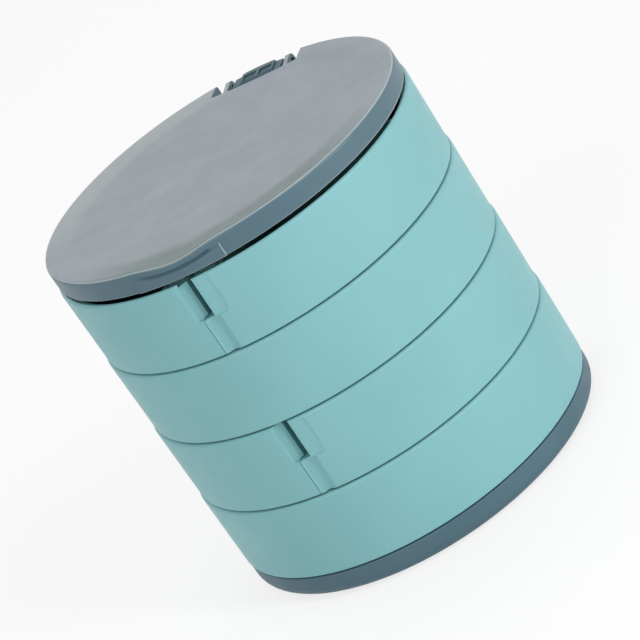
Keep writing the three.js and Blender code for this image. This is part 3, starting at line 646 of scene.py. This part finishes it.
def lid_shell(look):
    """The lid: a shallow dish on top, a plain skirt, hinge ears and the seat of the mirror."""
    r = LID_RADIUS
    edge = LID_EDGE_ROUND
    plain = LID_TOP - edge - LID_LOW
    dish = [(x, LID_TOP - DISH_DEPTH * (1 - smooth(39.6, 45.4, x)))
            for x in [r - edge - 0.4 * i for i in range(1, 34)]]
    skirt = [(r, LID_LOW + 0.35 + (plain - 0.35) * i / 30) for i in range(31)]
    profile = [(0, LID_LOW), (r - 4, LID_LOW), (r - 0.9, LID_LOW),
               *arc(r - 0.35, LID_LOW + 0.35, 0.35, -90, -10, 3), *skirt,
               *arc(r - edge, LID_TOP - edge, edge, 8, 90, 10), *dish, (20, LID_TOP - DISH_DEPTH),
               (0, LID_TOP - DISH_DEPTH)]
    front = [radians(-90 + 0.22 * i) for i in range(-80, 81)]
    rest = [radians(-90 + 17.6 + (360 - 35.2) * i / 270) for i in range(1, 270)]
    shell = revolve(profile, angles=front + rest, bend=lid_bend)
    seat = rod(0, MIRROR_Y, MIRROR_SEAT, LID_LOW - 1, LID_CEILING, ROUND)
    notch = block((-NOTCH_HALF, NOTCH_FRONT, LID_LOW - 1), (NOTCH_HALF, FAR, LID_TOP + 1))
    whole = join(cut(shell, seat, notch), lid_ear(-EAR[1], -EAR[0]), lid_ear(*EAR))
    whole = cut(whole, lying_rod("x", -11, 11, HINGE_Y, HINGE_Z, HINGE_PIN_BORE))
    dress(whole, "lid_cover", look, "lid", ["lid_shell"], edge=0.14)


def lid_ear(x0, x1):
    """An arm with a round knuckle, which reaches back over the notch."""
    start = NOTCH_FRONT - 2
    outline = [(start, LID_TOP - 1.7), (start, LID_LOW + 1.2)]
    outline += arc(HINGE_Y, HINGE_Z, LID_KNUCKLE, -90, 90, 16)
    return upright_slab(outline, x0, x1)


def hinge_pin(look):
    """Plated pin of the lid hinge, with domed ends."""
    r, reach, dome = HINGE_PIN_RADIUS, EAR[1] - 0.8, 0.35
    profile = [(0, -reach), *arc(r - dome, dome - reach, dome, -90, 0, 4),
               *arc(r - dome, reach - dome, dome, 0, 90, 4), (0, reach)]
    piece = revolve(profile, segments=SMALL_ROUND, name="pin")
    piece.data.transform(Matrix.Translation((0, HINGE_Y, HINGE_Z)) @ Matrix.Rotation(pi / 2, 4, "Y"))
    dress(piece, "lid_hinge_pin_turned", look, "upper_unit", ["lid_hinge_pin"], edge=0)


def mirror(glass_look, frame_look):
    """The round mirror glass with ground edges, and the ring that holds it."""
    low = LID_LOW
    face, back = (low + height for height in GLASS_HEIGHTS)
    glass = revolve([
        (0, face), *arc(MIRROR_RADIUS - 0.4, face + 0.4, 0.4, -90, 0, 3), (MIRROR_RADIUS, back), (0, back),
    ], y=MIRROR_Y)
    dress(glass, "mirror_disc", glass_look, "lid", ["mirror_glass"], edge=0)
    outer = MIRROR_SEAT - CLEARANCE
    ceiling = LID_CEILING - CLEARANCE
    ring = revolve([
        *arc(MIRROR_RADIUS - 0.9, low + 0.6, 0.3, 180, 270, 4), *arc(outer - 0.3, low + 0.6, 0.3, -90, 0, 4),
        (outer, ceiling), (MIRROR_RADIUS + 0.3, ceiling), (MIRROR_RADIUS + 0.3, low + 0.9),
        (MIRROR_RADIUS - 1.2, low + 0.9),
    ], y=MIRROR_Y)
    dress(ring, "mirror_ring", frame_look, "lid", ["mirror_frame"], edge=0)


def node_setup(name, colour, roughness):
    """A new material, its node tree and its shader, with a plain colour and roughness set."""
    material = bpy.data.materials.new(name)
    material.use_nodes = True
    tree = material.node_tree
    shader = tree.nodes["Principled BSDF"]
    shader.inputs["Base Color"].default_value = (*colour, 1)
    shader.inputs["Roughness"].default_value = roughness
    return material, tree, shader


def noise(tree, scale, detail=3.0, stretch=(1, 1, 1)):
    """Noise in the object's own metres, as a value."""
    place = tree.nodes.new("ShaderNodeTexCoord")
    mapping = tree.nodes.new("ShaderNodeMapping")
    mapping.inputs["Scale"].default_value = stretch
    texture = tree.nodes.new("ShaderNodeTexNoise")
    texture.inputs["Scale"].default_value = scale
    texture.inputs["Detail"].default_value = detail
    tree.links.new(place.outputs["Object"], mapping.inputs["Vector"])
    tree.links.new(mapping.outputs["Vector"], texture.inputs["Vector"])
    return texture.outputs["Fac"]


def remap(tree, value, low, high):
    """Spreads a noise value of about 0.3 to 0.7 over a range."""
    step = tree.nodes.new("ShaderNodeMapRange")
    step.inputs["From Min"].default_value = 0.3
    step.inputs["From Max"].default_value = 0.7
    step.inputs["To Min"].default_value = low
    step.inputs["To Max"].default_value = high
    tree.links.new(value, step.inputs["Value"])
    return step.outputs["Result"]


def mix_colours(tree, factor, first, second):
    """A colour between two, by a value."""
    mix = tree.nodes.new("ShaderNodeMix")
    mix.data_type = "RGBA"
    for socket, colour in ((mix.inputs["A"], first), (mix.inputs["B"], second)):
        if isinstance(colour, tuple):
            socket.default_value = (*colour, 1)
        else:
            tree.links.new(colour, socket)
    tree.links.new(factor, mix.inputs["Factor"])
    return mix.outputs["Result"]


def bump(tree, shader, height, strength, distance):
    """Fine relief on a shader."""
    relief = tree.nodes.new("ShaderNodeBump")
    relief.inputs["Strength"].default_value = strength
    relief.inputs["Distance"].default_value = distance
    tree.links.new(height, relief.inputs["Height"])
    tree.links.new(relief.outputs["Normal"], shader.inputs["Normal"])


def moulded_plastic(name, dark, light, roughness, grain):
    """Satin moulded plastic: clouded colour, a fine spark-eroded grain and uneven gloss."""
    material, tree, shader = node_setup(name, light, roughness)
    clouds = remap(tree, noise(tree, 38, 4), 0, 1)
    colour = mix_colours(tree, clouds, dark, light)
    tree.links.new(colour, shader.inputs["Base Color"])
    gloss = remap(tree, noise(tree, 160, 3), roughness - 0.05, roughness + 0.06)
    tree.links.new(gloss, shader.inputs["Roughness"])
    bump(tree, shader, noise(tree, grain, 2), 0.16, 0.00006)
    shader.inputs["IOR"].default_value = 1.5
    shader.inputs["Specular IOR Level"].default_value = 0.35
    return material, tree, shader, colour


def ramp(tree, value, start, end):
    """0 at start, 1 at end, and an even curve between."""
    step = tree.nodes.new("ShaderNodeMapRange")
    step.interpolation_type = "SMOOTHSTEP"
    step.inputs["From Min"].default_value = start
    step.inputs["From Max"].default_value = end
    tree.links.new(value, step.inputs["Value"])
    return step.outputs["Result"]


def calculate(tree, operation, first, second):
    """One step of arithmetic on two values, each a socket or a number."""
    step = tree.nodes.new("ShaderNodeMath")
    step.operation = operation
    for socket, value in zip(step.inputs, (first, second)):
        if isinstance(value, (int, float)):
            socket.default_value = value
        else:
            tree.links.new(value, socket)
    return step.outputs["Value"]


def between(tree, value, low, high, blur):
    """1 from low to high, and 0 beyond, with blurred ends; all in millimetres."""
    rise = ramp(tree, value, (low - blur) * MM, low * MM)
    return calculate(tree, "MULTIPLY", rise, ramp(tree, value, (high + blur) * MM, high * MM))


def facing(tree, x, y, radius, direction, start, end):
    """1 on the side of the lid that lies in a direction from its centre, and 0 on the other."""
    sideways, forward = (calculate(tree, "MULTIPLY", value, part) for value, part in zip((x, y), direction))
    along = calculate(tree, "ADD", sideways, forward)
    return ramp(tree, calculate(tree, "DIVIDE", along, radius), start, end)


def lid_plastic(dark, light, roughness, grain):
    """The slate plastic, with a painted sheen that makes the lid's top face paler and mottled, painted shade
    and light on the dish's front and rear slopes, and painted highlights along its edges.
    """
    material, tree, shader, colour = moulded_plastic("lid_plastic", dark, light, roughness, grain)
    place = tree.nodes.new("ShaderNodeTexCoord")
    normal = tree.nodes.new("ShaderNodeSeparateXYZ")
    point = tree.nodes.new("ShaderNodeSeparateXYZ")
    tree.links.new(place.outputs["Normal"], normal.inputs["Vector"])
    tree.links.new(place.outputs["Object"], point.inputs["Vector"])
    x, y, z = (point.outputs[axis] for axis in "XYZ")
    squares = calculate(tree, "ADD", calculate(tree, "MULTIPLY", x, x), calculate(tree, "MULTIPLY", y, y))
    radius = calculate(tree, "SQRT", squares, 0)
    high = ramp(tree, z, (LID_TOP - 2.0) * MM, (LID_TOP - 1.8) * MM)
    # Painted shade on the front of the dish's sloping ring and painted light on its rear-left part
    slope = between(tree, radius, 43.5, 49, 4.5)
    front = calculate(tree, "MULTIPLY", slope, facing(tree, x, y, radius, (0.34, -0.94), 0.45, 0.95))
    rear = calculate(tree, "MULTIPLY", slope, facing(tree, x, y, radius, (-0.75, 0.66), 0.3, 0.95))
    # Painted sheen: the top face is lighter than the slate, in colours mottled at random
    top = mix_colours(tree, remap(tree, noise(tree, 75, 5), 0, 1), TOP_SHEEN_DARK, TOP_SHEEN_LIGHT)
    top = mix_colours(tree, front, top, TOP_PAINTED_SHADE)
    top = mix_colours(tree, rear, top, TOP_PAINTED_LIGHT)
    steepness = normal.outputs["Z"]
    # The painted sheen covers the upward faces of the top
    sheen_share = calculate(tree, "MULTIPLY", high, ramp(tree, steepness, 0.45, 0.8))
    colour = mix_colours(tree, sheen_share, colour, top)
    # Painted highlight on the rounded top edge
    rim = calculate(tree, "MULTIPLY", ramp(tree, steepness, 0.5, 0.66), ramp(tree, steepness, 0.9, 0.76))
    rim = calculate(tree, "MULTIPLY", rim, high)
    rim = calculate(tree, "MULTIPLY", rim, ramp(tree, radius, 47 * MM, 48 * MM))
    # Painted highlights along the skirt's lower edge and down the right side of the finger tab
    skirt = between(tree, z, LID_LOW - 1, LID_LOW + 0.12, 0.2)
    tab = calculate(tree, "MULTIPLY", between(tree, x, TAB_HALF - 0.14, TAB_HALF - 0.08, 0.07),
                    ramp(tree, y, -40 * MM, -44 * MM))
    tab = calculate(tree, "MULTIPLY", tab, between(tree, z, LID_LOW, LID_TOP - 2.2, 0.1))
    outside = ramp(tree, radius, 48.6 * MM, 49 * MM)
    # The painted highlights, each with its share, lighten the colour
    highlight_share = calculate(tree, "MULTIPLY", calculate(tree, "MAXIMUM", skirt, tab), outside)
    highlight_share = calculate(tree, "MAXIMUM", calculate(tree, "MULTIPLY", rim, RIM_HIGHLIGHT_SHARE),
                     calculate(tree, "MULTIPLY", highlight_share, EDGE_HIGHLIGHT_SHARE))
    tree.links.new(mix_colours(tree, highlight_share, colour, HIGHLIGHT_COLOUR), shader.inputs["Base Color"])
    shader.inputs["Coat Weight"].default_value = 0.3
    shader.inputs["Coat Roughness"].default_value = 0.3
    return material


def metal(name, colour, roughness):
    """Plated steel with fine turning marks."""
    material, tree, shader = node_setup(name, colour, roughness)
    shader.inputs["Metallic"].default_value = 1
    marks = noise(tree, 900, 2, (1, 1, 6))
    tree.links.new(remap(tree, marks, roughness - 0.06, roughness + 0.1), shader.inputs["Roughness"])
    bump(tree, shader, marks, 0.1, 0.00003)
    return material


def mirror_glass_look():
    """Silvered glass, with the faintest haze."""
    material, tree, shader = node_setup("silvered_glass", (0.9, 0.93, 0.93), 0.02)
    shader.inputs["Metallic"].default_value = 1
    tree.links.new(remap(tree, noise(tree, 60, 3), 0.008, 0.03), shader.inputs["Roughness"])
    return material


def rubber_look():
    """Matte rubber with a dusty bloom."""
    material, tree, shader = node_setup("foot_rubber", (0.03, 0.034, 0.038), 0.85)
    bloom = remap(tree, noise(tree, 400, 4), 0, 1)
    tree.links.new(mix_colours(tree, bloom, (0.022, 0.025, 0.028), (0.05, 0.054, 0.058)),
                   shader.inputs["Base Color"])
    bump(tree, shader, noise(tree, 2200, 2), 0.3, 0.00008)
    return material


def foam_look():
    """Closed-cell adhesive foam."""
    material, tree, shader = node_setup("pad_foam", (0.86, 0.86, 0.83), 0.95)
    cells = noise(tree, 2600, 2)
    tree.links.new(mix_colours(tree, remap(tree, cells, 0, 1), (0.74, 0.74, 0.71), (0.88, 0.88, 0.85)),
                   shader.inputs["Base Color"])
    bump(tree, shader, cells, 0.5, 0.0001)
    return material


def recoat(look, *nodes):
    """Gives CAD nodes that stay visible a finished material."""
    for node in nodes:
        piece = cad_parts[node]
        piece.data.materials.clear()
        piece.data.materials.append(look)


# Light, and the camera fitted to the rims in the photograph
WORLD_LEVEL = 0.38
FLOOR_HALF = 6.0
FLOOR_GLOW = 0.75
CAMERA_AZIMUTH = radians(26.7)
CAMERA_ELEVATION = radians(21.22)
CAMERA_ROLL = radians(33.63)
CAMERA_DISTANCE = 0.9915
CAMERA_TARGET = Vector((0, 0, 0.05))
FOCAL_IN_FRAMES = 6.2677
CENTRE_OFFSET = (2.7 / 640, -4.0 / 640)


def toward(azimuth, elevation):
    """The direction from the object to a place that is seen at that azimuth and elevation."""
    return Vector((sin(azimuth) * cos(elevation), -cos(azimuth) * cos(elevation), sin(elevation)))


def place_camera():
    """The photograph's view: the box seen from its right, with the picture rolled."""
    data = bpy.data.cameras.new("camera")
    camera = bpy.data.objects.new("camera", data)
    bpy.context.scene.collection.objects.link(camera)
    back = toward(CAMERA_AZIMUTH, CAMERA_ELEVATION)
    level = Vector((cos(CAMERA_AZIMUTH), sin(CAMERA_AZIMUTH), 0))
    upright = back.cross(level)
    right = level * cos(CAMERA_ROLL) - upright * sin(CAMERA_ROLL)
    up = upright * cos(CAMERA_ROLL) + level * sin(CAMERA_ROLL)
    turn = Matrix((right, up, back)).transposed().to_4x4()
    camera.matrix_world = Matrix.Translation(CAMERA_TARGET + back * CAMERA_DISTANCE) @ turn
    data.sensor_width = 36
    data.lens = FOCAL_IN_FRAMES * data.sensor_width
    data.shift_x = -CENTRE_OFFSET[0]
    data.shift_y = CENTRE_OFFSET[1]
    data.clip_start = 0.01
    data.clip_end = 100
    bpy.context.scene.camera = camera


def softbox(name, azimuth, elevation, distance, size, power):
    """A rectangular lamp that faces the object, placed by angles from the camera's side."""
    data = bpy.data.lights.new(name, "AREA")
    data.shape = "RECTANGLE"
    data.size, data.size_y = size
    data.energy = power
    lamp = bpy.data.objects.new(name, data)
    bpy.context.scene.collection.objects.link(lamp)
    direction = toward(CAMERA_AZIMUTH + radians(azimuth), radians(elevation))
    lamp.location = CAMERA_TARGET + direction * distance
    lamp.rotation_euler = direction.to_track_quat("Z", "Y").to_euler()


def seen_directly(tree):
    """1 where the camera, a reflection or a clear piece looks, and 0 for diffuse light."""
    rays = tree.nodes.new("ShaderNodeLightPath")
    bright = rays.outputs["Is Camera Ray"]
    for kind in ("Is Glossy Ray", "Is Transmission Ray"):
        bright = calculate(tree, "MAXIMUM", bright, rays.outputs[kind])
    return bright


def light_scene():
    """Four softboxes and a white world, which is dimmer for diffuse light than for the camera."""
    softbox("key_right", 36, 36, 1.3, (0.2, 0.7), 6)
    softbox("strip_right", 59, 4, 0.9, (0.08, 0.4), 3.2)
    softbox("fill_left", -36, 30, 1.5, (0.8, 0.9), 7.5)
    softbox("overhead", 175, 62, 1.4, (1.2, 0.9), 6)
    world = bpy.data.worlds.new("studio")
    world.use_nodes = True
    bpy.context.scene.world = world
    tree = world.node_tree
    background = tree.nodes["Background"]
    background.inputs["Color"].default_value = (1, 1, 1, 1)
    strength = tree.nodes.new("ShaderNodeMapRange")
    strength.inputs["To Min"].default_value = WORLD_LEVEL
    strength.inputs["To Max"].default_value = 1.0
    tree.links.new(seen_directly(tree), strength.inputs["Value"])
    tree.links.new(strength.outputs["Result"], background.inputs["Strength"])


def floor():
    """A pale floor that keeps the object's shadow and runs out to the white background."""
    mesh = bpy.data.meshes.new("floor")
    plan = rectangle(-FLOOR_HALF, FLOOR_HALF, -FLOOR_HALF, FLOOR_HALF)
    mesh.from_pydata([(x, y, 0) for x, y in plan], [], [(0, 1, 2, 3)])
    ground = bpy.data.objects.new("floor", mesh)
    bpy.context.scene.collection.objects.link(ground)
    material, tree, shader = node_setup("pale_floor", (0.93, 0.93, 0.93), 0.9)
    shader.inputs["Specular IOR Level"].default_value = 0.1
    glow = tree.nodes.new("ShaderNodeEmission")
    glow.inputs["Strength"].default_value = 1
    share = calculate(tree, "MULTIPLY", seen_directly(tree), FLOOR_GLOW)
    mix = tree.nodes.new("ShaderNodeMixShader")
    tree.links.new(share, mix.inputs["Fac"])
    tree.links.new(shader.outputs["BSDF"], mix.inputs[1])
    tree.links.new(glow.outputs["Emission"], mix.inputs[2])
    tree.links.new(mix.outputs["Shader"], tree.nodes["Material Output"].inputs["Surface"])
    mesh.materials.append(material)


def build_object():
    """Every piece of the box, with its material."""
    teal = moulded_plastic("teal_plastic", (0.18, 0.405, 0.427), (0.193, 0.427, 0.45), 0.46, 5200)[0]
    slate_colours = (0.058, 0.118, 0.15), (0.066, 0.131, 0.166)
    slate = moulded_plastic("slate_plastic", *slate_colours, 0.5, 4200)[0]
    dark_slate = moulded_plastic("dark_slate_plastic", (0.044, 0.088, 0.11), (0.052, 0.1, 0.124),
                                 0.5, 4200)[0]
    nylon = moulded_plastic("white_nylon", (0.7, 0.69, 0.66), (0.76, 0.75, 0.72), 0.5, 5200)[0]
    steel = metal("plated_steel", (0.6, 0.6, 0.6), 0.28)
    rubber = rubber_look()
    base_shell(slate)
    lower_tray(teal)
    lower_column(teal)
    upper_tray(teal)
    upper_column(teal)
    hinge_block(dark_slate)
    hinge_pin(steel)
    lid_shell(lid_plastic(*slate_colours, 0.5, 4200))
    mirror(mirror_glass_look(), nylon)
    for number in range(1, 5):
        foot(f"rubber_foot_{number}", rubber)
        turned_screw(f"base_screw_{number}", steel, "lower_unit", *BASE_SCREW, False)
    near, far = DIVIDER_Y - DIVIDER / 2, DIVIDER_Y + DIVIDER / 2
    for level, low in (("lower", DRAWER_LOW), ("upper", UPPER_DRAWER_LOW)):
        unit = f"{level}_unit"
        tray_low = low - PITCH
        divider(f"{level}_cross_divider", (-FAR, near), (FAR, far), tray_low, teal, unit)
        divider(f"{level}_rear_divider", (-DIVIDER / 2, far + CLEARANCE),
                (DIVIDER / 2, COLUMN_FRONT - CLEARANCE), tray_low, teal, unit)
        for hand, side in (("left", -1), ("right", 1)):
            body = f"{level}_{hand}_drawer"
            drawer(side, low, f"{level}_drawer_{hand}", body, teal)
            divider(f"{level}_divider_{hand}", (side * (CENTRE_GAP + INNER_WALL + CLEARANCE), near),
                    (side * FAR, far), low, teal, body)
            turned_screw(f"{level}_pivot_screw_{hand}", steel, unit, *PIVOT_SCREW, True)
            turned_screw(f"{level}_column_screw_{hand}", steel, unit, *COLUMN_SCREW_FORM, False)
    recoat(steel, "swivel_post", "swivel_cap_washer", "swivel_screw", "hinge_block_screw")
    recoat(nylon, "swivel_washer")
    recoat(foam_look(), "mirror_pad")


place_camera()
light_scene()
floor()
build_object()

bpy.context.scene.view_settings.view_transform = "Standard"
